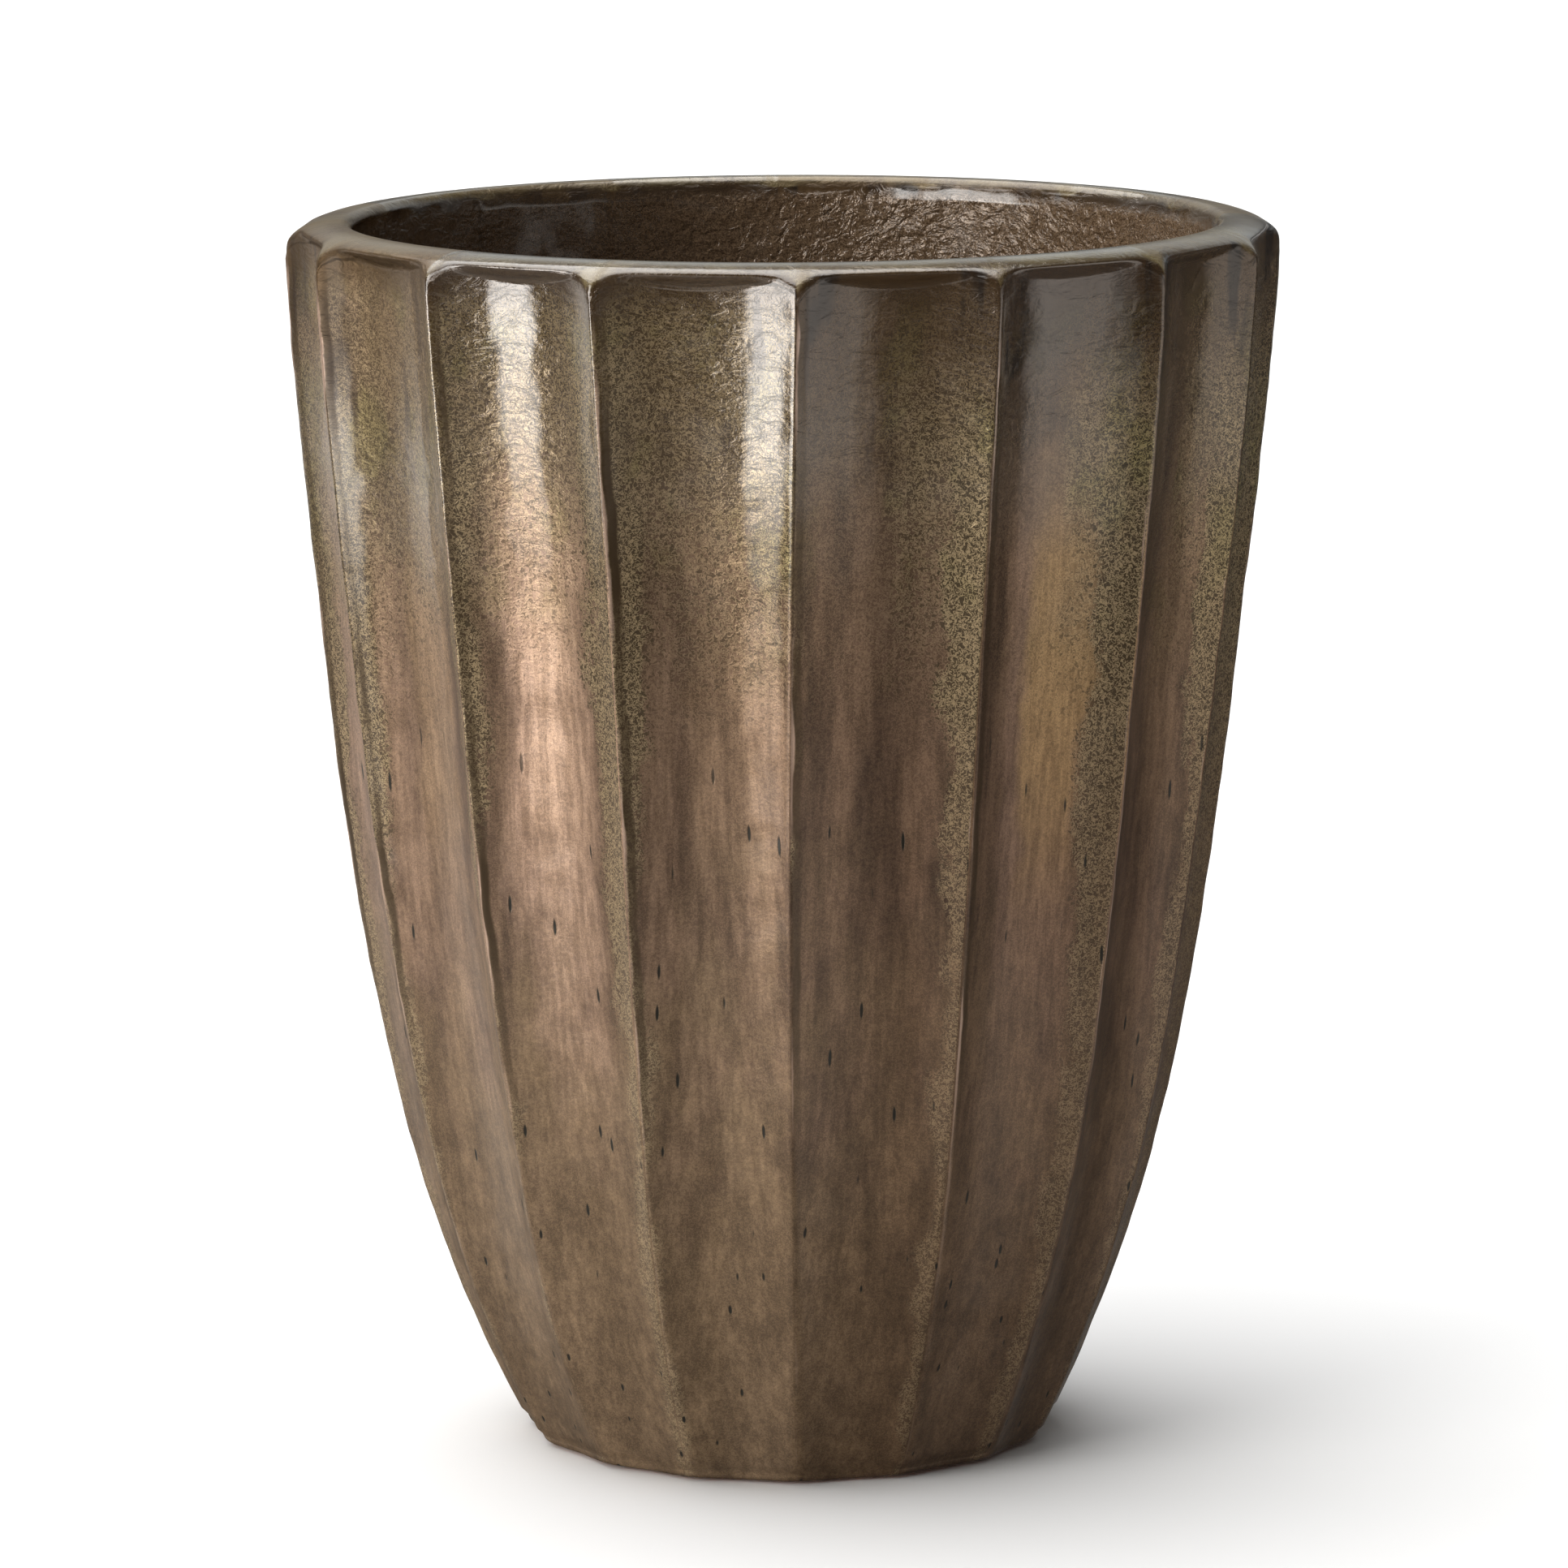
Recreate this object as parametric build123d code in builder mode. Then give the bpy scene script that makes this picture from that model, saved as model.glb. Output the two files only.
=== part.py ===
from build123d import *

import os
from math import cos, radians, sin, sqrt

# Tall fluted planter pot, in millimetres, +Z up.
# The origin is on the floor, under the centre of the foot. One flute ridge points along -Y.

# Pot body, driving dimensions
HEIGHT = 535.0             # floor to the top of the lip
LIP_RADIUS = 216.0         # centre to the flute ridges at the lip
MOUTH_RADIUS = 187.0       # centre to the inner wall at the lip
FLUTES = 16
FLOOR_TOP = 34.0           # floor that the soil rests on, above the ground
LIP_FALL = 14.0            # how far the rounded lip drops from its crown to the ridges
LIP_RUN = 22.0             # how far the rounding runs in from the ridges
BROW_INSET = 6.5           # the lip's underside starts this far inside the ridges
BROW_SLOPE = 1.9           # how far the underside runs in for each millimetre it drops
MOUTH_ROUNDING = 5.0
FLOOR_ROUNDING = 26.0      # inside corner between the wall and the floor
FOOT_ROUNDING = 8.0
FOOT_TRIM = 2.0            # the rounding starts this far inside the ridges
TRIM_MARGIN = 0.6          # the trimming envelope's wall stands this far outside the ridges

# Outside sections: height, radius to the ridges, depth of the flutes
SECTIONS = [
    (0.0, 115.0, 0.6),
    (65.0, 144.0, 3.2),
    (135.0, 165.5, 6.2),
    (240.0, 186.5, 8.8),
    (350.0, 200.0, 10.2),
    (455.0, 211.0, 10.9),
    (540.0, 216.3, 11.2),
]

# Inner wall between the rounded floor corner and the mouth: height, radius
INNER_WALL = [(60.0, 112.5), (135.0, 136.5), (240.0, 158.0), (350.0, 171.5), (455.0, 182.0)]

# Underside: a foot ring round a shallow recess, with the drain hole in the middle
PAD_THICKNESS = 1.5
FOOT_RING_WIDTH = 26.0
RECESS_TOP = 12.0
DRAIN_RADIUS = 13.0

# Rubber drain plug, pushed up into the drain hole
PLUG_CLEARANCE = 0.05
PLUG_FLANGE_RADIUS = 20.0
PLUG_FLANGE = 3.0
PLUG_TAB = (16.0, 4.5, 4.5)     # length, thickness and drop of the pull tab
PLUG_LOWER_END = 1.5            # how far the plug's end stays below the floor inside

# Drain screen, a thin disc with round holes
SCREEN_RADIUS = 42.0
SCREEN_THICKNESS = 1.2
SCREEN_BEAD = 2.6               # height and width of the raised edge
SCREEN_HOLE = 1.6               # radius of each hole
SCREEN_RINGS = [(8.0, 8), (14.5, 14), (21.0, 20), (27.5, 26), (34.0, 32)]  # ring radius, holes

# Self-adhesive pads under the foot ring
PAD_RADIUS = 8.5
PAD_COUNT = 4

foot_radius = SECTIONS[0][1]
recess_radius = foot_radius - FOOT_RING_WIDTH
pad_circle = (foot_radius - 2 * FOOT_TRIM + recess_radius) / 2
trim_radius = LIP_RADIUS + TRIM_MARGIN
brow_radius = LIP_RADIUS - BROW_INSET
rounding_share = (brow_radius - trim_radius + LIP_RUN) / LIP_RUN
brow_height = HEIGHT - LIP_FALL + LIP_FALL * sqrt(1 - rounding_share**2)

os.makedirs("parts", exist_ok=True)


def flute_arc(radius, depth, index):
    """Return the start, middle and end of one concave flute, from ridge to ridge."""
    half_step = 180.0 / FLUTES
    start = -90.0 + index * 2 * half_step
    middle_radius = radius * cos(radians(half_step)) - depth
    spots = [(radius, start), (middle_radius, start + half_step), (radius, start + 2 * half_step)]
    return [(r * cos(radians(angle)), r * sin(radians(angle))) for r, angle in spots]


# ---- pot body: fluted outside, cut to the lip and foot roundings, hollowed and drained
with BuildPart() as pot_body:
    for section_height, ridge_radius, flute_depth in SECTIONS:
        with BuildSketch(Plane.XY.offset(section_height)):
            with BuildLine():
                for flute in range(FLUTES):
                    ThreePointArc(*flute_arc(ridge_radius, flute_depth, flute))
            make_face()
    loft()

    # The lip overhangs the flutes with a sloping underside.
    with BuildSketch(Plane.XZ) as brow:
        with BuildLine():
            inner_end = MOUTH_RADIUS - 20
            outer_end = trim_radius + 20
            Polyline(
                (inner_end, brow_height - (brow_radius - inner_end) / BROW_SLOPE),
                (outer_end, brow_height + (outer_end - brow_radius) / BROW_SLOPE),
                (outer_end, HEIGHT + 20),
                (inner_end, HEIGHT + 20),
                close=True,
            )
        make_face()
    revolve(axis=Axis.Z)

    # The envelope trims the flutes: they end in arches under the lip, and fade at the foot.
    with BuildSketch(Plane.XZ) as envelope:
        with BuildLine():
            foot_path = FilletPolyline(
                (0, PAD_THICKNESS),
                (foot_radius - FOOT_TRIM, PAD_THICKNESS),
                (trim_radius, PAD_THICKNESS + trim_radius - foot_radius + FOOT_TRIM),
                radius=FOOT_ROUNDING,
            )
            Line(foot_path @ 1, (trim_radius, HEIGHT - LIP_FALL))
            EllipticalCenterArc((trim_radius - LIP_RUN, HEIGHT - LIP_FALL), LIP_RUN, LIP_FALL)
            Polyline((trim_radius - LIP_RUN, HEIGHT), (0, HEIGHT), (0, PAD_THICKNESS))
        make_face()
    revolve(axis=Axis.Z, mode=Mode.INTERSECT)

    # The hollow: a flat floor, a rounded corner and a wall that follows the ridges.
    with BuildSketch(Plane.XZ) as hollow:
        corner_radius = INNER_WALL[0][1]
        with BuildLine():
            wall = Spline(
                *[(r, z) for z, r in INNER_WALL],
                (MOUTH_RADIUS, HEIGHT - MOUTH_ROUNDING),
            )
            Spline(
                (corner_radius - FLOOR_ROUNDING, FLOOR_TOP),
                wall @ 0,
                tangents=[(1, 0), wall % 0],
            )
            RadiusArc(wall @ 1, (MOUTH_RADIUS + MOUTH_ROUNDING, HEIGHT), MOUTH_ROUNDING)
            Polyline(
                (MOUTH_RADIUS + MOUTH_ROUNDING, HEIGHT),
                (MOUTH_RADIUS + MOUTH_ROUNDING, HEIGHT + 10),
                (0, HEIGHT + 10),
                (0, FLOOR_TOP),
                (corner_radius - FLOOR_ROUNDING, FLOOR_TOP),
            )
        make_face()
    revolve(axis=Axis.Z, mode=Mode.SUBTRACT)

    # The recess inside the foot ring, and the drain hole.
    with BuildSketch(Plane.XY):
        Circle(recess_radius)
    extrude(amount=RECESS_TOP, taper=12, mode=Mode.SUBTRACT)
    with BuildSketch(Plane.XY):
        Circle(DRAIN_RADIUS)
    extrude(amount=FLOOR_TOP + 1, mode=Mode.SUBTRACT)
pot_body.part.label = "pot_body"
export_step(pot_body.part, "parts/pot_body.step")

# ---- drain plug: a straight stem, a flange under the floor and a pull tab below it
with BuildPart() as drain_plug:
    with BuildSketch(Plane.XY.offset(RECESS_TOP - PLUG_FLANGE)):
        Circle(PLUG_FLANGE_RADIUS)
    extrude(amount=PLUG_FLANGE)
    fillet(drain_plug.edges().group_by(Axis.Z)[0], radius=1.2)
    with BuildSketch(Plane.XY.offset(RECESS_TOP)):
        Circle(DRAIN_RADIUS - PLUG_CLEARANCE)
    extrude(amount=FLOOR_TOP - PLUG_LOWER_END - RECESS_TOP)
    chamfer(drain_plug.faces().sort_by(Axis.Z)[-1].edges(), length=1.0)
    with BuildSketch(Plane.XY.offset(RECESS_TOP - PLUG_FLANGE)):
        RectangleRounded(PLUG_TAB[0], PLUG_TAB[1], 1.5)
    extrude(amount=-PLUG_TAB[2])
drain_plug.part.label = "drain_plug"
export_step(drain_plug.part, "parts/drain_plug.step")

# ---- drain screen: lies loose on the floor inside, over the drain hole
with BuildPart() as drain_screen:
    with BuildSketch(Plane.XY.offset(FLOOR_TOP)):
        Circle(SCREEN_RADIUS)
    extrude(amount=SCREEN_THICKNESS)
    with BuildSketch(Plane.XY.offset(FLOOR_TOP)):
        Circle(SCREEN_RADIUS)
        Circle(SCREEN_RADIUS - SCREEN_BEAD, mode=Mode.SUBTRACT)
    extrude(amount=SCREEN_BEAD)
    fillet(drain_screen.edges().group_by(Axis.Z)[-1], radius=0.8)
    with BuildSketch(Plane.XY.offset(FLOOR_TOP)):
        Circle(SCREEN_HOLE)
        for ring_radius, hole_count in SCREEN_RINGS:
            with PolarLocations(ring_radius, hole_count):
                Circle(SCREEN_HOLE)
    extrude(amount=SCREEN_THICKNESS, mode=Mode.SUBTRACT)
drain_screen.part.label = "drain_screen"
export_step(drain_screen.part, "parts/drain_screen.step")

# ---- foot pads: between the foot ring and the ground, clear of the recess and the outer edge
for pad_index, pad_place in enumerate(PolarLocations(pad_circle, PAD_COUNT, start_angle=45), start=1):
    with BuildPart() as foot_pad:
        with BuildSketch(Plane(pad_place)):
            Circle(PAD_RADIUS)
        extrude(amount=PAD_THICKNESS)
        fillet(foot_pad.edges().group_by(Axis.Z)[0], radius=0.4)
    pad_name = f"foot_pad_{pad_index}"
    foot_pad.part.label = pad_name
    export_step(foot_pad.part, f"parts/{pad_name}.step")

print("pot body volume, litres:", round(pot_body.part.volume / 1e6, 2))
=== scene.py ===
from math import cos, pi, radians, sin, sqrt

import bpy
import numpy as np
from mathutils import Euler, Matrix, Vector, noise


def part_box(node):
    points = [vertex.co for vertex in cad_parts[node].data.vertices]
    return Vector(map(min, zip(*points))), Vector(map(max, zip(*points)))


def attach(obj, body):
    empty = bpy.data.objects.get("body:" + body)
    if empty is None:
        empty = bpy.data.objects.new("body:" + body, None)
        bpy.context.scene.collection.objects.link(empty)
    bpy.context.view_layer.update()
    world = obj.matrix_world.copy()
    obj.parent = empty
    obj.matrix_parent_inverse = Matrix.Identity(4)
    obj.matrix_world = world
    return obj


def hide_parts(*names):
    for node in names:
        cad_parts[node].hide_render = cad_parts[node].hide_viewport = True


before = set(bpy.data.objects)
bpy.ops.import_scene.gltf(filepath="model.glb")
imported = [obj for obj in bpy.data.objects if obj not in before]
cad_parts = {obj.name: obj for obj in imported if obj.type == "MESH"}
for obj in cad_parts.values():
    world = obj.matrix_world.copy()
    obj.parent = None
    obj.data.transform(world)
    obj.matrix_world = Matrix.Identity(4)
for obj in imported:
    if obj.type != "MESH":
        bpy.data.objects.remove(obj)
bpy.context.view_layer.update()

# ---- sizes, from the frame, in metres ---------------------------------------------------------
body_low, body_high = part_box("pot_body")
MM = 0.001
LIP_RADIUS = (body_high.x - body_low.x) / 2 - 0.2 * MM
POT_TOP = body_high.z
FOOT_UNDERSIDE = body_low.z
FLOOR_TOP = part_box("drain_screen")[0].z
DRAIN_RADIUS = 13.0 * MM
MOUTH_RADIUS = 187.0 * MM
MOUTH_ROUNDING = 5.0 * MM
# The lip: how far it falls over how wide a run, and the brow that it makes over the flutes
LIP_FALL = 14.0 * MM
LIP_RUN = 22.0 * MM
LIP_BROW = 6.5 * MM
BROW_SLOPE = 1.9
BROW_ROUNDING = 5.0 * MM
# The recess under the floor, and how far the whole wall bows to one side half way up
RECESS_TOP = 12.0 * MM
RECESS_RADIUS = 88.7 * MM
WALL_BOW = 2.0 * MM
FLUTES = 16
# How finely the mesh follows the wall: points across a flute, and rows up the outside and inside
ACROSS_STEPS = 36
OUTSIDE_STEPS = 190
INSIDE_STEPS = 90

# Outside: height as a share of the pot's, radius to the ridges as a share of the lip's, flute depth
OUTSIDE = [
    (0.0, 0.532, 2.0 * MM),
    (0.12, 0.667, 4.2 * MM),
    (0.25, 0.765, 6.2 * MM),
    (0.45, 0.864, 8.8 * MM),
    (0.65, 0.924, 10.2 * MM),
    (0.85, 0.977, 10.9 * MM),
    (1.0, 1.0, 11.2 * MM),
]
# The hand that trimmed the ridges wandered: each ridge's turn from its even place, and how far it
# bows to one side half way up, in degrees
RIDGE_WANDER = [-0.2, 0.2, 0.6, -0.3, 0.5, -0.4, 0.3, 0.8, -0.6, 0.2, -0.5, 0.4, -0.3, -1.2, -0.4, -1.0]
RIDGE_BOW = [-0.4, -0.3, 0.3, -0.5, 0.6, -0.3, 0.8, 0.4, -0.7, 0.5, -0.4, 0.7, 0.4, 1.2, 1.8, 2.0]
# How each flute took the glaze: golden lustre, coppery lustre, how bare of flecks its left side is
# high up and how much darker it is, which on the flutes at the right is partly painted shade, how
# dull and amber it is high up, and where the bands of flecks along its two ridges end
# (-1 is the left ridge, 1 the right one)
FLUTE_GOLD = [0.0, 1.0, 0.2, 0.3, 0.6, 0.2, 0.8, 0.4, 0.3, 0.7, 0.2, 0.5, 0.3, 0.3, 0.1, 0.1]
FLUTE_COPPER = [0.1, 0.6, 0.2, 0.4, 0.3, 0.9, 0.4, 0.6, 0.8, 0.3, 0.7, 0.5, 0.5, 0.4, 1.0, 0.1]
FLUTE_SMOOTH = [0.9, 1.0, 0.9, 0.8, 0.5, 0.3, 0.7, 0.9, 0.4, 0.2, 0.6, 0.3, 0.4, 0.2, 0.1, 0.1]
FLUTE_DULL = [0.2, 0.0, 0.4, 0.2, 0.6, 0.1, 0.3, 0.5, 0.0, 0.4, 0.2, 0.7, 0.9, 0.9, 0.0, 0.1]
FLECKS_LEFT = [
    -0.9, -1.3, -1.2, -0.9, -0.6, -0.8, -1.2, -0.5,
    -0.7, -1.1, -0.6, -0.8, -0.6, -0.7, -0.8, -0.7,
]
FLECKS_RIGHT = [0.58, 0.50, 0.6, 0.4, 0.6, 0.5, 0.7, 0.4, 0.6, 0.5, 0.8, 0.5, 0.7, 0.8, 0.58, 1.1]


# ---- camera -----------------------------------------------------------------------------------
def make_camera():
    """Place the camera in front, a little above the lip, looking slightly down."""
    azimuth = radians(-1.6)
    elevation = radians(9.63)
    roll = radians(-0.25)
    distance = 16.24 * LIP_RADIUS
    target = Vector((-0.0058 * LIP_RADIUS, 0.0, 1.3253 * LIP_RADIUS))
    back = Vector((sin(azimuth) * cos(elevation), -cos(azimuth) * cos(elevation), sin(elevation)))
    data = bpy.data.cameras.new("camera")
    data.lens = 184.0
    data.sensor_width = 36.0
    data.clip_end = 60.0
    camera = bpy.data.objects.new("camera", data)
    camera.location = target + back * distance
    camera.rotation_mode = "QUATERNION"
    camera.rotation_quaternion = (-back).to_track_quat("-Z", "Y")
    camera.rotation_quaternion @= Euler((0, 0, roll)).to_quaternion()
    bpy.context.scene.collection.objects.link(camera)
    bpy.context.scene.camera = camera


# ---- pot mesh ---------------------------------------------------------------------------------
def smooth_min(a, b, width):
    """The smaller of two values, with the crease between them rounded over the given width."""
    share = np.maximum(width - np.abs(a - b), 0) / width
    return np.minimum(a, b) - share * share * width / 4


def arc(centre, radii, start, end, steps):
    """Points of an elliptic arc in the plane of radius and height, end point left out."""
    turns = [radians(start + (end - start) * i / steps) for i in range(steps)]
    return [(centre[0] + radii[0] * cos(t), centre[1] + radii[1] * sin(t)) for t in turns]


def run(start, end, steps):
    """Points of a straight run, end point left out."""
    return [
        (start[0] + (end[0] - start[0]) * i / steps, start[1] + (end[1] - start[1]) * i / steps)
        for i in range(steps)
    ]


ridge_curve = np.polynomial.Polynomial.fit(
    [h * POT_TOP for h, r, d in OUTSIDE], [r * LIP_RADIUS for h, r, d in OUTSIDE], 5
)
depth_curve = np.polynomial.Polynomial.fit(
    [h * POT_TOP for h, r, d in OUTSIDE], [d for h, r, d in OUTSIDE], 4
)


def inner_radius(z):
    """Radius of the inner wall: it keeps its distance from the ridges, up to the mouth."""
    return float(ridge_curve(z)) - (LIP_RADIUS - MOUTH_RADIUS)


def lip_outline():
    """Points over the top of the lip, from the head of a ridge to the edge of the mouth."""
    edge = LIP_RADIUS + 0.3 * MM
    points = arc((edge - LIP_RUN, POT_TOP - LIP_FALL), (LIP_RUN, LIP_FALL), 0, 90, 34)
    return points + run((edge - LIP_RUN, POT_TOP), (MOUTH_RADIUS + MOUTH_ROUNDING, POT_TOP), 2)


def brow_height():
    """Height of the edge that the lip makes over the flutes, where they end under it."""
    inset = (LIP_RUN - LIP_BROW) / LIP_RUN
    return POT_TOP - LIP_FALL * (1 - sqrt(1 - inset**2))


def outline():
    """The pot's outline before fluting: (zone, radius, height) once round the thickness of the wall."""
    edge = 1.2 * MM
    foot_edge = 3.5 * MM
    foot_radius = float(ridge_curve(0)) + 1.2 * MM
    corner = 26.0 * MM
    rows = []

    def add(zone, points):
        rows.extend((zone, r, z) for r, z in points)

    # underside, from the drain hole outwards
    add("clay", arc((DRAIN_RADIUS + edge, RECESS_TOP + edge), (edge, edge), 180, 270, 4))
    add("clay", run((DRAIN_RADIUS + edge, RECESS_TOP), (RECESS_RADIUS - 6 * MM, RECESS_TOP), 14))
    add("clay", arc((RECESS_RADIUS - 6 * MM, RECESS_TOP - 5 * MM), (5 * MM, 5 * MM), 90, 0, 5))
    wall_foot = FOOT_UNDERSIDE + 2 * MM
    add("clay", run((RECESS_RADIUS - 1 * MM, RECESS_TOP - 5 * MM), (RECESS_RADIUS, wall_foot), 2))
    add("clay", arc((RECESS_RADIUS + 2 * MM, wall_foot), (2 * MM, 2 * MM), 180, 270, 4))
    ring_start = (RECESS_RADIUS + 2 * MM, FOOT_UNDERSIDE)
    add("clay", run(ring_start, (foot_radius - foot_edge, FOOT_UNDERSIDE), 7))
    # foot edge and outside wall
    foot_centre = (foot_radius - foot_edge, FOOT_UNDERSIDE + foot_edge)
    add("wall", arc(foot_centre, (foot_edge, foot_edge), -90, 0, 9))
    wall_start = FOOT_UNDERSIDE + foot_edge
    wall_end = POT_TOP - LIP_FALL
    # Above the foot edge the outline opens out wide, so that the fluted wall alone gives the shape
    for i in range(OUTSIDE_STEPS):
        z = wall_start + (wall_end - wall_start) * i / OUTSIDE_STEPS
        opening = min((z - wall_start) * 2.5, 0.25)
        rows.append(("wall", foot_radius + opening, z))
    # lip and mouth
    add("lip", lip_outline())
    mouth_centre = (MOUTH_RADIUS + MOUTH_ROUNDING, POT_TOP - MOUTH_ROUNDING)
    add("lip", arc(mouth_centre, (MOUTH_ROUNDING, MOUTH_ROUNDING), 90, 180, 8))
    # inside wall, floor and drain hole
    inside_top = POT_TOP - MOUTH_ROUNDING
    inside_foot = FLOOR_TOP + corner
    for i in range(INSIDE_STEPS):
        z = inside_top + (inside_foot - inside_top) * i / INSIDE_STEPS
        rows.append(("inside", inner_radius(z), z))
    corner_radius = inner_radius(inside_foot)
    add("inside", arc((corner_radius - corner, inside_foot), (corner, corner), 0, -90, 12))
    add("inside", run((corner_radius - corner, FLOOR_TOP), (DRAIN_RADIUS + edge, FLOOR_TOP), 16))
    add("inside", arc((DRAIN_RADIUS + edge, FLOOR_TOP - edge), (edge, edge), 90, 180, 4))
    add("clay", run((DRAIN_RADIUS, FLOOR_TOP - edge), (DRAIN_RADIUS, RECESS_TOP + edge), 4))
    return rows


def ridge_angles(z):
    """Where each ridge stands at each height, as angles round the pot, one row for each height."""
    even = -pi / 2 + np.arange(FLUTES) * 2 * pi / FLUTES
    wander = even + np.radians(RIDGE_WANDER)
    bow = np.radians(RIDGE_BOW) * np.sin(pi * np.clip(z / POT_TOP, 0, 1))[:, None]
    ridges = wander + bow
    return np.concatenate([ridges, ridges[:, :1] + 2 * pi], axis=1)


def flute_radius(angles, z):
    """Radius of the fluted wall at each angle and height, one row for each height."""
    softness = (1.3 + 2.7 * (1 - z / POT_TOP)[:, None] ** 2) * MM
    ridge = ridge_curve(z)[:, None] + softness / 4
    depth = depth_curve(z)[:, None]
    ridges = ridge_angles(z)
    result = np.full(angles.shape, 1.0)
    for k in range(FLUTES):
        half = (ridges[:, k + 1 : k + 2] - ridges[:, k : k + 1]) / 2
        turn = (angles - ridges[:, k : k + 1] - half + pi) % (2 * pi) - pi
        middle = ridge * np.cos(half) - depth
        centre = (ridge**2 - middle**2) / (2 * (ridge * np.cos(half) - middle))
        reach = (centre - middle) ** 2 - (centre * np.sin(turn)) ** 2
        radius = centre * np.cos(turn) - np.sqrt(np.maximum(reach, 0))
        radius = np.where(np.abs(turn) < half * 1.35, radius, 1.0)
        result = smooth_min(result, radius, softness)
    return result


def arch_heights(across):
    """Height of the arch over each point across the flutes, where the fluted wall meets the lip."""
    level = np.array([POT_TOP - LIP_FALL / 2])
    angles = ridge_angles(level)[:, :-1, None] + np.radians(360 / FLUTES) * across
    crest = np.maximum(flute_radius(angles, level).reshape(-1), LIP_RADIUS - LIP_BROW)
    lip = np.array(lip_outline())
    return np.interp(crest, lip[::-1, 0], lip[::-1, 1])


def hand_work(zones, radius, angles, heights):
    """Unevenness of wall and glaze along the radius: slow swells, lumps a finger wide and ripples."""
    z = np.repeat(heights[:, None], radius.shape[1], axis=1)
    places = np.stack([radius * np.cos(angles), radius * np.sin(angles), z], axis=-1).reshape(-1, 3)
    swell, lumps, ripple = (
        np.array([noise.noise(Vector(p) * scale) for p in places]).reshape(radius.shape)
        for scale in (9.0, 55.0, 170.0)
    )
    bumps = swell * 0.9 * MM + lumps * 0.45 * MM + ripple * 0.16 * MM

    # The foot and the inside's floor stay even, and the widest part of the lip nearly so
    amount = {"clay": 0.0, "wall": 1.0, "lip": 0.6, "inside": 1.3}
    strength = np.array([amount[zone] for zone in zones])
    strength *= np.clip((heights - FLOOR_TOP * 0.2) / 0.04, 0, 1)
    strength[(zones == "inside") & (heights < FLOOR_TOP + 1 * MM)] = 0
    fade = 1 - np.clip((radius - (LIP_RADIUS - 1.5 * MM)) / (1.5 * MM), 0, 1)
    return strength[:, None] * np.minimum(bumps, 0.4 * MM + fade * MM)


def add_attributes(mesh, shape, values_by_name):
    """Write each named value on the mesh's points, for the glaze to read."""
    for name, values in values_by_name.items():
        attribute = mesh.attributes.new(name, "FLOAT", "POINT")
        attribute.data.foreach_set("value", np.broadcast_to(values, shape).astype(np.float32).ravel())


def make_pot(materials):
    """Build the whole pot as one closed skin: fluted outside, rounded lip, smooth inside, foot ring."""
    zones, radii, heights = (np.array(column) for column in zip(*outline()))
    # Across a flute the points stand closer together near its ridges
    even = np.arange(ACROSS_STEPS) / ACROSS_STEPS
    across = 0.55 * (1 - np.cos(pi * even)) / 2 + 0.45 * even
    flute_side = np.tile(across * 2 - 1, FLUTES)
    ridges = ridge_angles(heights)
    angles = ridges[:, :-1, None] + np.diff(ridges, axis=1)[:, :, None] * across
    angles = angles.reshape(len(heights), -1)
    rows, columns = angles.shape

    outer = (zones == "wall") | (zones == "lip")
    radius = np.repeat(radii[:, None], columns, axis=1)
    fluted = flute_radius(angles[outer], heights[outer])
    brow = LIP_RADIUS - LIP_BROW - (brow_height() - heights[outer])[:, None] * BROW_SLOPE
    fluted = -smooth_min(-fluted, -brow, BROW_ROUNDING)
    # Where the flutes end under the lip the edge is rounded, most in the middle of each arch
    arch_rounding = (3 + 5 * (1 - np.abs(flute_side))) * MM
    radius[outer] = smooth_min(radius[outer], fluted, arch_rounding)

    # How far each point lies under the arch where its flute meets the lip, or inside under the mouth
    arch = np.where(outer[:, None], arch_heights(across)[None, :], POT_TOP - MOUTH_ROUNDING)
    under_arch = arch - heights[:, None]

    bumps = hand_work(zones, radius, angles, heights)
    radius = radius + np.where(outer[:, None], np.minimum(bumps, LIP_RADIUS - radius), -bumps)
    bow = -WALL_BOW * np.sin(pi * heights / POT_TOP)
    x = radius * np.cos(angles) + bow[:, None]
    y = radius * np.sin(angles)
    z = np.repeat(heights[:, None], columns, axis=1)

    mesh = bpy.data.meshes.new("glazed_pot")
    first = np.arange(rows * columns).reshape(rows, columns)
    right = np.roll(first, -1, axis=1)
    faces = np.stack([first, right, np.roll(right, -1, axis=0), np.roll(first, -1, axis=0)], axis=-1)
    mesh.from_pydata(np.stack([x, y, z], axis=-1).reshape(-1, 3), [], faces.reshape(-1, 4).tolist())
    add_attributes(
        mesh,
        (rows, columns),
        {
            "flute_side": flute_side,
            "under_arch": under_arch,
            "outside": outer[:, None],
            "gold": np.repeat(FLUTE_GOLD, ACROSS_STEPS),
            "copper": np.repeat(FLUTE_COPPER, ACROSS_STEPS),
            "smooth": np.repeat(FLUTE_SMOOTH, ACROSS_STEPS),
            "dull": np.repeat(FLUTE_DULL, ACROSS_STEPS),
            "flecks_left": np.repeat(FLECKS_LEFT, ACROSS_STEPS),
            "flecks_right": np.repeat(FLECKS_RIGHT, ACROSS_STEPS),
        },
    )
    clay = np.repeat((zones == "clay")[:, None], columns, axis=1).ravel()
    mesh.materials.append(materials["glaze"])
    mesh.materials.append(materials["clay"])
    mesh.polygons.foreach_set("material_index", clay.astype(np.int32))
    mesh.shade_smooth()
    pot = bpy.data.objects.new("glazed_pot", mesh)
    bpy.context.scene.collection.objects.link(pot)
    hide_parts("pot_body")
    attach(pot, "pot")


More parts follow.
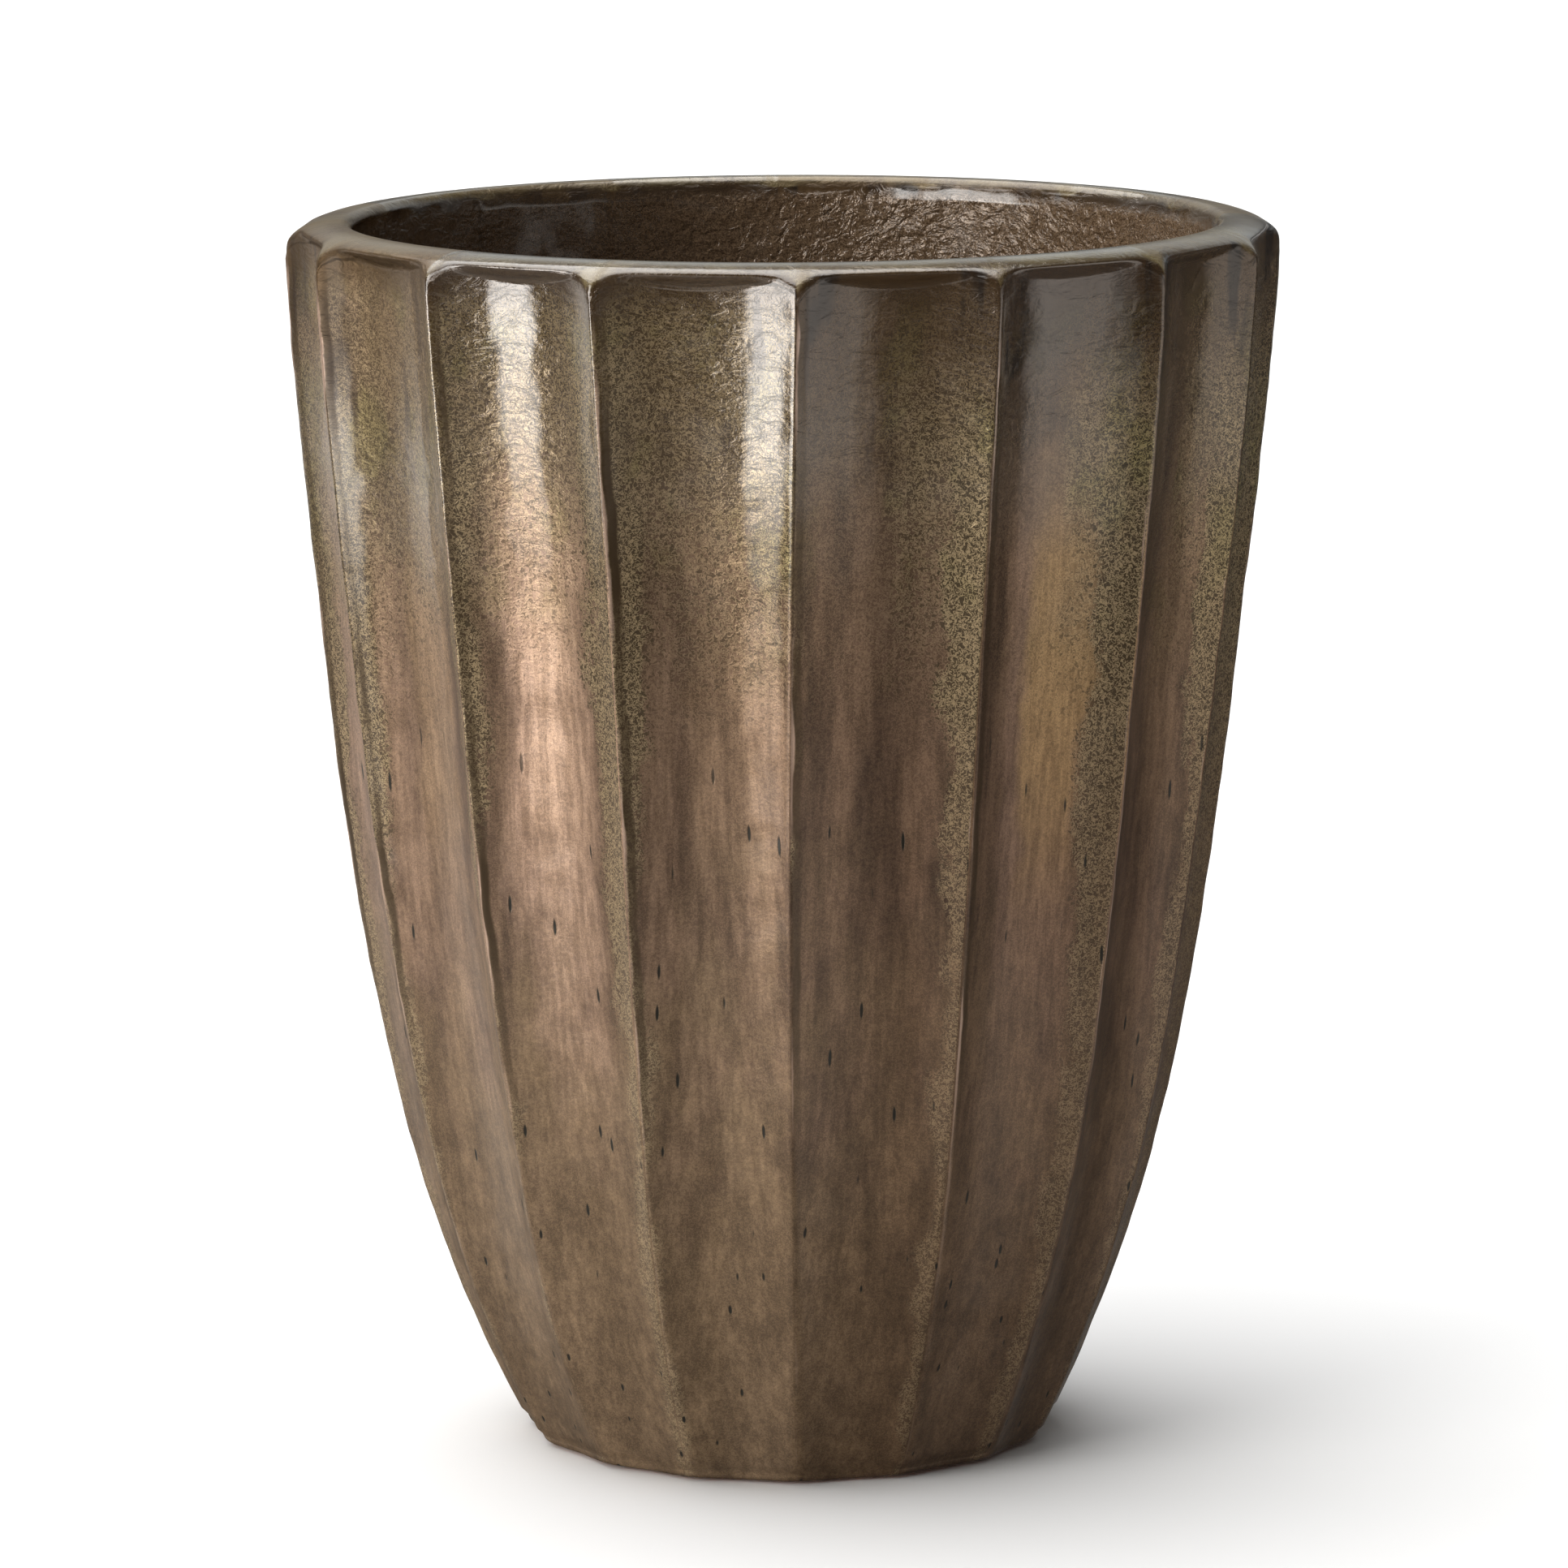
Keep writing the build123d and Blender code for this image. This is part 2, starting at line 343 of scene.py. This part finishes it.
# ---- nodes ------------------------------------------------------------------------------------
class Nodes:
    """A node tree, with a short method for each kind of node that the finishes and the studio need."""

    def __init__(self, tree):
        self.tree = tree

    def put(self, socket, value):
        """Link another node's output to the socket, or set a plain value on it."""
        if isinstance(value, bpy.types.NodeSocket):
            self.tree.links.new(value, socket)
        else:
            socket.default_value = value

    def node(self, kind, inputs, output=0, **settings):
        """Make a node and give one of its outputs."""
        made = self.tree.nodes.new(kind)
        for name, value in settings.items():
            setattr(made, name, value)
        for key, value in inputs.items():
            self.put(made.inputs[key], value)
        return made.outputs[output]

    def math(self, operation, a, b=0.0, c=0.0):
        return self.node("ShaderNodeMath", {0: a, 1: b, 2: c}, operation=operation)

    def times(self, first, *others):
        for other in others:
            first = self.math("MULTIPLY", first, other)
        return first

    def scaled(self, value, factor, offset):
        """The value times the factor, plus the offset."""
        return self.math("MULTIPLY_ADD", value, factor, offset)

    def step(self, value, low, high, start=0.0, end=1.0):
        """A smooth step from start at low to end at high."""
        inputs = {"Value": value, "From Min": low, "From Max": high, "To Min": start, "To Max": end}
        return self.node("ShaderNodeMapRange", inputs, interpolation_type="SMOOTHSTEP")

    def mix(self, share, a, b, blend="MIX"):
        inputs = {"Factor": share, 6: a, 7: b}
        return self.node("ShaderNodeMix", inputs, 2, data_type="RGBA", blend_type=blend)


class Finish(Nodes):
    """A procedural material, laid out in the piece's own coordinates."""

    def __init__(self, name, **shader):
        self.material = bpy.data.materials.new(name)
        self.material.use_nodes = True
        super().__init__(self.material.node_tree)
        self.place = self.node("ShaderNodeTexCoord", {}, "Object")
        for socket, value in shader.items():
            self.surface(socket.replace("_", " ").title(), value)

    def surface(self, socket, value):
        """Set one input of the surface's shader."""
        self.put(self.tree.nodes["Principled BSDF"].inputs[socket], value)

    def along(self, axis):
        """The distance along one axis of the piece."""
        return self.node("ShaderNodeSeparateXYZ", {0: self.place}, axis)

    def stretch(self, x, y, z):
        return self.node("ShaderNodeVectorMath", {0: self.place, 1: (x, y, z)}, operation="MULTIPLY")

    def noise(self, scale, detail=2.0, roughness=0.5, distortion=0.0, at=None):
        inputs = {
            "Vector": at or self.place,
            "Scale": scale,
            "Detail": detail,
            "Roughness": roughness,
            "Distortion": distortion,
        }
        return self.node("ShaderNodeTexNoise", inputs)

    def read(self, name):
        """One of the values that add_attributes wrote on the mesh."""
        return self.node("ShaderNodeAttribute", {}, 2, attribute_name=name)

    def tinted(self, tone, tint, share):
        """The tone multiplied by the tint, as far as the share says."""
        return self.mix(share, tone, tint, "MULTIPLY")

    def bump(self, height, distance, under=None):
        inputs = {"Height": height, "Distance": distance, "Strength": 1.0}
        if under is not None:
            inputs["Normal"] = under
        return self.node("ShaderNodeBump", inputs)


def colour(red, green, blue):
    return (red, green, blue, 1.0)


# ---- materials --------------------------------------------------------------------------------
class Glaze(Finish):
    """Bronze glaze: glossy and dark under the lip, with painted shade there, flecked by the ridges, with
    painted highlights along them, coppery lustre lower down and painted shade low on the right.
    """

    def __init__(self):
        super().__init__("bronze_glaze", coat_roughness=0.08)
        self.find_patterns()
        self.find_regions()
        self.find_flecks()
        self.find_ridges()
        self.find_pinholes()
        tone = self.ground()
        tone = self.grained(tone)
        tone = self.with_flecks(tone)
        tone = self.with_ridges(tone)
        tone = self.with_arches(tone)
        tone = self.with_lip(tone)
        tone = self.with_inside(tone)
        tone = self.mix(self.holes, tone, colour(0.018, 0.015, 0.009))
        self.surface("Base Color", tone)
        self.set_gloss()
        self.set_relief()

    def find_patterns(self):
        """Patches a hand wide and smaller, runs down the wall, and a fine crinkle with its crests."""
        self.patch = self.noise(9.0, 3.0, 0.6)
        self.blotch = self.noise(32.0, 3.0, 0.6, at=self.stretch(1, 1, 0.6))
        self.streak = self.noise(330.0, 3.0, 0.65, at=self.stretch(1, 1, 0.05))
        self.wide_streak = self.noise(75.0, 3.0, 0.55, at=self.stretch(1, 1, 0.12))
        self.crinkle = self.noise(620.0, 2.0, 0.55, 0.9)
        off_crest = self.math("ABSOLUTE", self.math("SUBTRACT", self.crinkle, 0.5))
        self.crests = self.step(off_crest, 0.010, 0.085, 1.0, 0.0)

    def find_regions(self):
        """Where a point lies: up the wall, across its flute, on the lip, inside, high in dull glaze."""
        self.outside = self.read("outside")
        self.smooth = self.read("smooth")
        self.under_arch = self.read("under_arch")
        self.rise = self.math("DIVIDE", self.along("Z"), POT_TOP)
        self.drift = self.math("ADD", self.rise, self.scaled(self.patch, 0.26, -0.13))

        # Across the flute: -1 at the left ridge, 1 at the right, with a wavering or a loose edge
        waver = self.scaled(self.noise(38.0, 2.0), 0.10, -0.05)
        self.side = self.math("ADD", self.read("flute_side"), waver)
        self.to_ridge = self.math("ABSOLUTE", self.side)
        self.loose_side = self.math("ADD", self.side, self.scaled(self.blotch, 0.9, -0.45))
        self.in_flute = self.step(self.math("ABSOLUTE", self.loose_side), 0.45, 0.75, 1.0, 0.0)

        self.on_lip = self.step(self.under_arch, -0.0035, 0.0005, 1.0, 0.0)
        below_mouth = self.step(self.under_arch, 0.0, 0.006)
        self.inside = self.times(self.scaled(self.outside, -1.0, 1.0), below_mouth)
        self.crawled = self.step(self.along("X"), -0.12, 0.05)
        dull_level = self.step(self.scaled(self.blotch, 0.1, self.rise), 0.84, 0.97)
        self.dull = self.times(self.read("dull"), self.outside, dull_level)
        self.glassy = self.times(self.step(self.drift, 0.72, 0.95), self.scaled(self.dull, -0.6, 1.0))

    def find_flecks(self):
        """How flecked the glaze is: in bands beside the ridges, and all over high up."""
        ragged = self.scaled(self.crinkle, 0.5, -0.25)
        ragged_side = self.math("ADD", self.loose_side, ragged)
        narrowed = self.step(self.drift, 0.28, 0.80, 0.23, 0.0)
        from_left = self.math("SUBTRACT", ragged_side, self.read("flecks_left"))
        left_band = self.step(self.math("ADD", from_left, narrowed), -0.06, 0.06, 1.0, 0.0)
        from_right = self.math("SUBTRACT", ragged_side, self.read("flecks_right"))
        right_band = self.step(self.math("SUBTRACT", from_right, narrowed), -0.06, 0.06)
        high_up = self.step(self.math("ADD", self.drift, ragged), 0.62, 0.85, 0.0, 0.75)
        flecked = self.math("MAXIMUM", self.math("MAXIMUM", left_band, right_band), high_up)
        flecked = self.times(flecked, self.step(self.drift, 0.15, 0.72, 0.55, 1.0))

        # Few on the brown tops of smooth and dull flutes, and on the left side of the smooth ones
        browned = self.math("MAXIMUM", self.smooth, self.times(self.read("dull"), 0.35))
        brown_top = self.times(browned, self.step(self.under_arch, 0.02, 0.08, 0.95, 0.0))
        left_side = self.step(self.loose_side, -0.05, 0.25, 1.0, 0.0)
        bare_left = self.times(self.smooth, left_side, self.step(self.rise, 0.50, 0.80))
        flecked = self.times(flecked, self.scaled(brown_top, -1.0, 1.0))
        flecked = self.times(flecked, self.scaled(bare_left, -0.85, 1.0))
        self.flecked = self.scaled(flecked, 0.84, 0.10)

    def find_ridges(self):
        """How marked the ridges are, less low on the wall, and where glaze gathers just beside them."""
        self.marked = self.step(self.rise, 0.22, 0.50)
        beside = self.math("ABSOLUTE", self.math("ADD", self.side, 0.935))
        self.gathered = self.times(
            self.step(beside, 0.025, 0.065, 1.0, 0.0),
            self.step(self.wide_streak, 0.35, 0.6, 0.35, 1.0),
            self.marked,
        )

    def find_pinholes(self):
        """Pinholes low on the wall, drawn out where the glaze ran."""
        inputs = {"Vector": self.stretch(1, 1, 0.14), "Scale": 125.0, "Randomness": 1.0}
        cells = self.node("ShaderNodeTexVoronoi", inputs)
        low_down = self.step(self.rise, 0.55, 0.7, 1.0, 0.0)
        self.holes = self.times(self.step(cells, 0.065, 0.115, 1.0, 0.0), low_down)

    def ground(self):
        """Brown, darker and glassy near the lip, with coppery and golden lustre in the flutes."""
        runs_down = self.step(self.wide_streak, 0.32, 0.68)
        red = self.mix(runs_down, colour(0.094, 0.051, 0.031), colour(0.258, 0.163, 0.107))
        olive = self.mix(runs_down, colour(0.158, 0.100, 0.056), colour(0.240, 0.158, 0.093))
        reddish = self.math("ADD", self.drift, self.scaled(self.blotch, 0.8, -0.4))
        tone = self.mix(self.step(reddish, 0.25, 0.55), olive, red)
        tone = self.mix(self.glassy, tone, colour(0.046, 0.025, 0.012))
        copper = self.mix(self.streak, colour(0.30, 0.188, 0.132), colour(0.50, 0.335, 0.248))
        gold = self.mix(self.streak, colour(0.30, 0.19, 0.085), colour(0.52, 0.35, 0.18))
        lustre = self.times(
            self.in_flute,
            self.step(self.drift, 0.22, 0.60),
            self.step(self.drift, 0.72, 0.88, 1.0, 0.0),
        )
        tone = self.mix(self.times(lustre, self.read("copper")), tone, copper)
        golden = self.times(
            lustre,
            self.step(self.rise, 0.45, 0.58, 0.15, 1.0),
            self.step(self.loose_side, -0.42, -0.15),
            self.read("gold"),
        )
        tone = self.mix(golden, tone, gold)
        return self.mix(self.times(self.dull, self.in_flute, 0.30), tone, gold)

    def grained(self, tone):
        """Add a wood-like grain of fine runs and mottling a finger wide, both stronger low down."""
        grain = self.mix(self.step(self.streak, 0.36, 0.64), colour(0.72, 0.70, 0.68), colour(1, 1, 1))
        tone = self.tinted(tone, grain, self.step(self.drift, 0.55, 0.85, 1.0, 0.3))
        mottle = self.step(self.noise(95.0, 3.0, 0.65, 0.6), 0.36, 0.64)
        mottle = self.mix(mottle, colour(0.86, 0.84, 0.81), colour(1.08, 1.07, 1.03))
        tone = self.tinted(tone, mottle, self.step(self.drift, 0.35, 0.75, 0.9, 0.35))
        fine = self.mix(self.crests, colour(0.87, 0.87, 0.86), colour(1.12, 1.11, 1.08))
        tone = self.tinted(tone, fine, 1.0)
        # Smooth flutes are made darker; the smoothest seen ones stand on the right, away from the light,
        # so this is partly painted shade
        return self.tinted(tone, colour(0.84, 0.82, 0.80), self.smooth)

    def with_flecks(self, tone):
        """Add the flecks, light crests over dark hollows, the broad tints over them, and painted shade
        low on the right.
        """
        light = self.mix(self.glassy, colour(0.38, 0.285, 0.160), colour(0.26, 0.19, 0.10))
        high = self.step(self.drift, 0.35, 0.75)
        hollow = self.mix(high, colour(0.120, 0.082, 0.048), colour(0.062, 0.043, 0.021))
        tone = self.mix(self.flecked, tone, self.mix(self.crests, hollow, light))

        # Green in patches high up; low down on the right, the side away from the light, painted shade
        # makes it darker and redder
        green = self.times(self.step(self.drift, 0.62, 0.80), self.step(self.blotch, 0.50, 0.66))
        tone = self.tinted(tone, colour(0.90, 0.96, 0.80), green)
        right_side = self.step(self.along("X"), -0.03, 0.07)
        painted_shade_low_right = self.times(right_side, self.step(self.rise, 0.45, 0.78, 1.0, 0.0))
        return self.tinted(tone, colour(0.76, 0.70, 0.67), painted_shade_low_right)

    def with_ridges(self, tone):
        """Darken the glaze that gathers beside the ridges, and paint a light pinkish line along each
        ridge as a painted highlight.
        """
        tone = self.mix(self.gathered, tone, colour(0.052, 0.030, 0.011))
        # A light line painted along each ridge, stronger high up: a painted highlight
        painted_ridge_highlight = self.times(
            self.step(self.to_ridge, 0.970, 0.988),
            self.step(self.wide_streak, 0.40, 0.6, 0.0, 0.8),
            self.scaled(self.marked, 0.85, 0.15),
        )
        return self.mix(painted_ridge_highlight, tone, colour(0.45, 0.31, 0.235))

    def with_arches(self, tone):
        """Hang thick dark glaze under the arches, darkened further as painted shade under the lip, with
        runs and drips below it.
        """
        # The dark band under each arch is pooled glaze and painted shade under the overhanging lip
        under = self.scaled(self.blotch, -0.030, self.math("ADD", self.under_arch, 0.015))
        pooled_glaze_and_shade = self.mix(self.read("dull"), colour(0.040, 0.022, 0.010), colour(0.095, 0.054, 0.020))
        tone = self.mix(self.step(under, 0.003, 0.022, 0.9, 0.0), tone, pooled_glaze_and_shade)
        runs = self.times(
            self.step(self.wide_streak, 0.56, 0.66),
            self.step(self.under_arch, 0.03, 0.14, 0.8, 0.0),
            self.step(self.patch, 0.38, 0.55),
        )
        tone = self.mix(runs, tone, colour(0.034, 0.019, 0.010))
        drips = self.times(
            self.step(self.to_ridge, 0.50, 0.72),
            self.step(self.to_ridge, 0.86, 0.95, 1.0, 0.0),
            self.step(self.scaled(self.blotch, -0.09, under), -0.02, 0.0, 1.0, 0.0),
            self.smooth,
            self.step(self.wide_streak, 0.42, 0.54),
        )
        return self.mix(drips, tone, colour(0.016, 0.010, 0.006))

    def with_lip(self, tone):
        """Mottle the lip in olive and brown."""
        patches = self.step(self.blotch, 0.3, 0.7)
        lip = self.mix(patches, colour(0.068, 0.040, 0.014), colour(0.160, 0.122, 0.056))
        lip = self.mix(self.times(self.crests, 0.45), lip, colour(0.24, 0.19, 0.10))
        lip = self.mix(self.times(self.read("dull"), 0.55), lip, colour(0.110, 0.066, 0.026))
        return self.mix(self.on_lip, tone, lip)

    def with_inside(self, tone):
        """Make the inside dark brown, smooth on one side and crawled into wrinkles on the other."""
        smooth = self.mix(self.crests, colour(0.030, 0.017, 0.008), colour(0.085, 0.050, 0.026))
        crawled = self.mix(self.crests, colour(0.094, 0.057, 0.031), colour(0.218, 0.144, 0.086))
        return self.mix(self.inside, tone, self.mix(self.crawled, smooth, crawled))

    def set_gloss(self):
        """Metallic where the lustre is, glassy where the glaze is thick near the lip and inside."""
        metal = self.scaled(self.glassy, -0.50, self.step(self.drift, 0.35, 0.78, 0.42, 0.70))
        metal = self.scaled(self.inside, -0.05, metal)
        self.surface("Metallic", self.scaled(self.dull, 0.15, metal))
        coat = self.times(
            self.step(self.drift, 0.68, 0.94, 0.08, 1.0),
            self.scaled(self.dull, -1.0, 1.0),
            self.scaled(self.gathered, -0.6, 1.0),
        )
        self.surface("Coat Weight", self.math("MAXIMUM", coat, self.times(self.on_lip, 0.5)))
        left_flecks = self.times(
            self.step(self.side, -0.97, -0.92),
            self.step(self.loose_side, -0.80, -0.35, 1.0, 0.0),
            self.flecked,
        )
        roughness = self.scaled(self.patch, 0.14, self.step(self.drift, 0.76, 0.92, 0.38, 0.06))
        roughness = self.scaled(self.dull, 0.35, roughness)
        roughness = self.scaled(left_flecks, 0.20, roughness)
        self.surface("Roughness", self.scaled(self.on_lip, 0.07, roughness))

    def set_relief(self):
        """Crinkled flecks, wrinkles inside, smears under the lip, runs, beads on the arches, pinholes."""
        relief = self.times(self.crinkle, self.scaled(self.flecked, 0.85, 0.15))
        normal = self.bump(relief, 0.13 * MM)
        wrinkles = self.times(self.noise(150.0, 3.0, 0.55, 1.0), self.inside)
        wrinkles = self.times(wrinkles, self.scaled(self.crawled, 0.75, 0.25))
        normal = self.bump(wrinkles, 2.2 * MM, normal)
        smears = self.noise(120.0, 3.0, 0.55, 1.2, at=self.stretch(0.8, 0.8, 1.6))
        smears = self.times(smears, self.step(self.drift, 0.60, 0.90, 0.15, 1.0))
        normal = self.bump(smears, 0.85 * MM, normal)
        normal = self.bump(self.streak, 0.07 * MM, normal)
        off_arch = self.math("ABSOLUTE", self.scaled(self.blotch, -0.006, self.under_arch))
        beads = self.times(
            self.step(off_arch, 0.0, 0.0018, 1.0, 0.0),
            self.outside,
            self.step(self.wide_streak, 0.38, 0.50),
        )
        normal = self.bump(beads, 0.5 * MM, normal)
        normal = self.bump(self.scaled(self.holes, -1.0, 1.0), 0.15 * MM, normal)
        self.surface("Normal", normal)


def make_clay():
    """Unglazed fired clay under the foot, with sand in it and stains of glaze."""
    clay = Finish("terracotta_clay", roughness=0.9)
    cloud = clay.noise(45.0, 4.0, 0.6)
    grit = clay.noise(900.0, 2.0, 0.7)
    tone = clay.mix(cloud, colour(0.36, 0.15, 0.075), colour(0.56, 0.28, 0.16))
    tone = clay.mix(clay.step(grit, 0.60, 0.72, 0.0, 0.6), tone, colour(0.70, 0.52, 0.38))
    tone = clay.mix(clay.step(cloud, 0.60, 0.72, 0.0, 0.7), tone, colour(0.16, 0.10, 0.07))
    clay.surface("Base Color", tone)
    clay.surface("Normal", clay.bump(grit, 0.25 * MM, clay.bump(cloud, 0.6 * MM)))
    return clay.material


def make_rubber(name, dark, light):
    """Moulded rubber with a dusty bloom and fine scuffs."""
    rubber = Finish(name, roughness=0.75)
    bloom = rubber.noise(120.0, 4.0, 0.6)
    scuff = rubber.noise(900.0, 3.0, 0.6, at=rubber.stretch(1, 0.12, 0.12))
    tone = rubber.mix(bloom, dark, light)
    tone = rubber.mix(rubber.step(scuff, 0.62, 0.74, 0.0, 0.5), tone, colour(0.14, 0.13, 0.12))
    rubber.surface("Base Color", tone)
    rubber.surface("Roughness", rubber.step(bloom, 0.3, 0.7, 0.6, 0.85))
    rubber.surface("Normal", rubber.bump(scuff, 0.08 * MM, rubber.bump(bloom, 0.15 * MM)))
    return rubber.material


def make_screen_plastic():
    """Black moulded plastic with a fine spark-eroded grain and dust in the hollows."""
    plastic = Finish("screen_plastic_grained", roughness=0.5)
    grain = plastic.noise(1400.0, 2.0, 0.6)
    dust = plastic.noise(70.0, 4.0, 0.65)
    tone = plastic.mix(grain, colour(0.012, 0.014, 0.012), colour(0.035, 0.038, 0.034))
    tone = plastic.mix(plastic.step(dust, 0.5, 0.75, 0.0, 0.45), tone, colour(0.16, 0.13, 0.10))
    plastic.surface("Base Color", tone)
    plastic.surface("Roughness", plastic.step(dust, 0.4, 0.7, 0.42, 0.8))
    plastic.surface("Normal", plastic.bump(grain, 0.05 * MM))
    return plastic.material


def dress_small_pieces(materials):
    """Give the plug, the screen and the pads, which keep their CAD shape, their own finishes."""
    finish_of = {"drain_plug": "plug_rubber", "drain_screen": "screen_plastic"}
    finish_of.update({f"foot_pad_{i}": "pad_rubber" for i in range(1, 5)})
    for node, finish in finish_of.items():
        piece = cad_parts[node]
        piece.data.materials.clear()
        piece.data.materials.append(materials[finish])


# ---- floor and light --------------------------------------------------------------------------
def make_floor():
    """A wide pale floor that also closes the view behind the pot."""
    reach = 14.0
    mesh = bpy.data.meshes.new("floor")
    corners = [(-reach, -reach, 0), (reach, -reach, 0), (reach, reach, 0), (-reach, reach, 0)]
    mesh.from_pydata(corners, [], [(0, 1, 2, 3)])
    floor = bpy.data.objects.new("floor", mesh)
    bpy.context.scene.collection.objects.link(floor)
    paper = Finish("floor_paper", roughness=0.9, base_color=colour(0.86, 0.86, 0.86))
    mesh.materials.append(paper.material)
    floor.visible_glossy = False


def make_light():
    """Soft light from above and behind on the left."""
    data = bpy.data.lights.new("main_light", "SUN")
    data.energy = 3.4
    data.angle = radians(75)
    light = bpy.data.objects.new("main_light", data)
    light.rotation_mode = "QUATERNION"
    azimuth, elevation = radians(-125), radians(69)
    towards = Vector((sin(azimuth) * cos(elevation), -cos(azimuth) * cos(elevation), sin(elevation)))
    light.rotation_quaternion = towards.to_track_quat("Z", "Y")
    bpy.context.scene.collection.objects.link(light)


# The glaze mirrors a dim studio with soft panels. Each panel: the way it stands from the pot, 0 in
# front and positive to the right, its half width and the softness of that, its lower and upper edge
# and the softness of those, all in degrees, then its strength and colour.
NEUTRAL = (1.0, 0.985, 0.96)
COOL = (0.92, 0.98, 1.0)
WARM = (1.0, 0.945, 0.885)
STUDIO_DIM = 0.05
PANELS = [
    (-62, 12, 4, -19, 4, 3, 9.4, NEUTRAL),
    (-52, 15, 4, 3, 36, 3, 7.0, NEUTRAL),
    (-46, 18, 10, -75, -17, 6, 0.52, WARM),
    (-75, 55, 20, -90, -34, 8, 0.15, WARM),
    (-128, 14, 8, -24, 0, 5, 1.30, WARM),
    (-108, 22, 10, -31, -22, 5, 1.20, WARM),
    (-112, 24, 10, -24, 0, 5, 0.22, WARM),
    (-90, 18, 10, -60, -34, 6, 0.22, WARM),
    (-20, 16, 8, -34, -19, 5, 1.20, WARM),
    (26, 14, 8, -38, -20, 4, 0.35, WARM),
    (42, 9, 5, -34, 0, 4, 0.50, WARM),
    (72, 22, 12, -38, 6, 6, 1.15, WARM),
    (85, 26, 8, -60, -34, 6, 0.10, WARM),
    (165, 20, 10, -26, 0, 5, 0.30, NEUTRAL),
    (180, 70, 25, 10, 32, 8, 0.5, COOL),
]
# The ceiling lights from all round and has no upper edge
CEILING_LOW = 58
CEILING_SOFTNESS = 12
CEILING_STRENGTH = 0.85


def make_studio():
    """Make the world that surrounds the pot: the dim studio, its panels and its ceiling."""
    world = bpy.data.worlds.new("studio")
    world.use_nodes = True
    bpy.context.scene.world = world
    studio = Nodes(world.node_tree)
    direction = studio.node("ShaderNodeTexCoord", {})
    flat = studio.node("ShaderNodeVectorMath", {0: direction, 1: (1, 1, 0)}, operation="MULTIPLY")
    level = studio.node("ShaderNodeVectorMath", {0: flat}, operation="NORMALIZE")
    upward = studio.node("ShaderNodeSeparateXYZ", {0: direction}, 2)

    def glow(strength, tint):
        return [strength * part for part in tint] + [1.0]

    def above(edge, softness):
        lowest = max(edge - softness, -90)
        return studio.step(upward, sin(radians(lowest)), sin(radians(edge + softness)))

    total = colour(STUDIO_DIM, STUDIO_DIM, STUDIO_DIM)
    for turn, half_width, soft, low, high, fade, strength, tint in PANELS:
        facing = (sin(radians(turn)), -cos(radians(turn)), 0)
        across = studio.node("ShaderNodeVectorMath", {0: level, 1: facing}, 1, operation="DOT_PRODUCT")
        outer_edge = cos(radians(half_width + soft))
        inner_edge = cos(radians(max(half_width - soft, 0)))
        below = studio.step(upward, sin(radians(high + fade)), sin(radians(high - fade)))
        share = studio.times(studio.step(across, outer_edge, inner_edge), above(low, fade), below)
        total = studio.mix(share, total, glow(strength, tint), "ADD")
    ceiling = above(CEILING_LOW, CEILING_SOFTNESS)
    total = studio.mix(ceiling, total, glow(CEILING_STRENGTH, NEUTRAL), "ADD")
    studio.put(world.node_tree.nodes["Background"].inputs["Color"], total)


make_camera()
finishes = {
    "glaze": Glaze().material,
    "clay": make_clay(),
    "plug_rubber": make_rubber(
        "plug_rubber_black", colour(0.010, 0.010, 0.011), colour(0.035, 0.034, 0.033)
    ),
    "pad_rubber": make_rubber(
        "pad_rubber_grey", colour(0.030, 0.028, 0.026), colour(0.075, 0.070, 0.066)
    ),
    "screen_plastic": make_screen_plastic(),
}
make_pot(finishes)
dress_small_pieces(finishes)
make_floor()
make_light()
make_studio()
bpy.context.scene.view_settings.view_transform = "Standard"
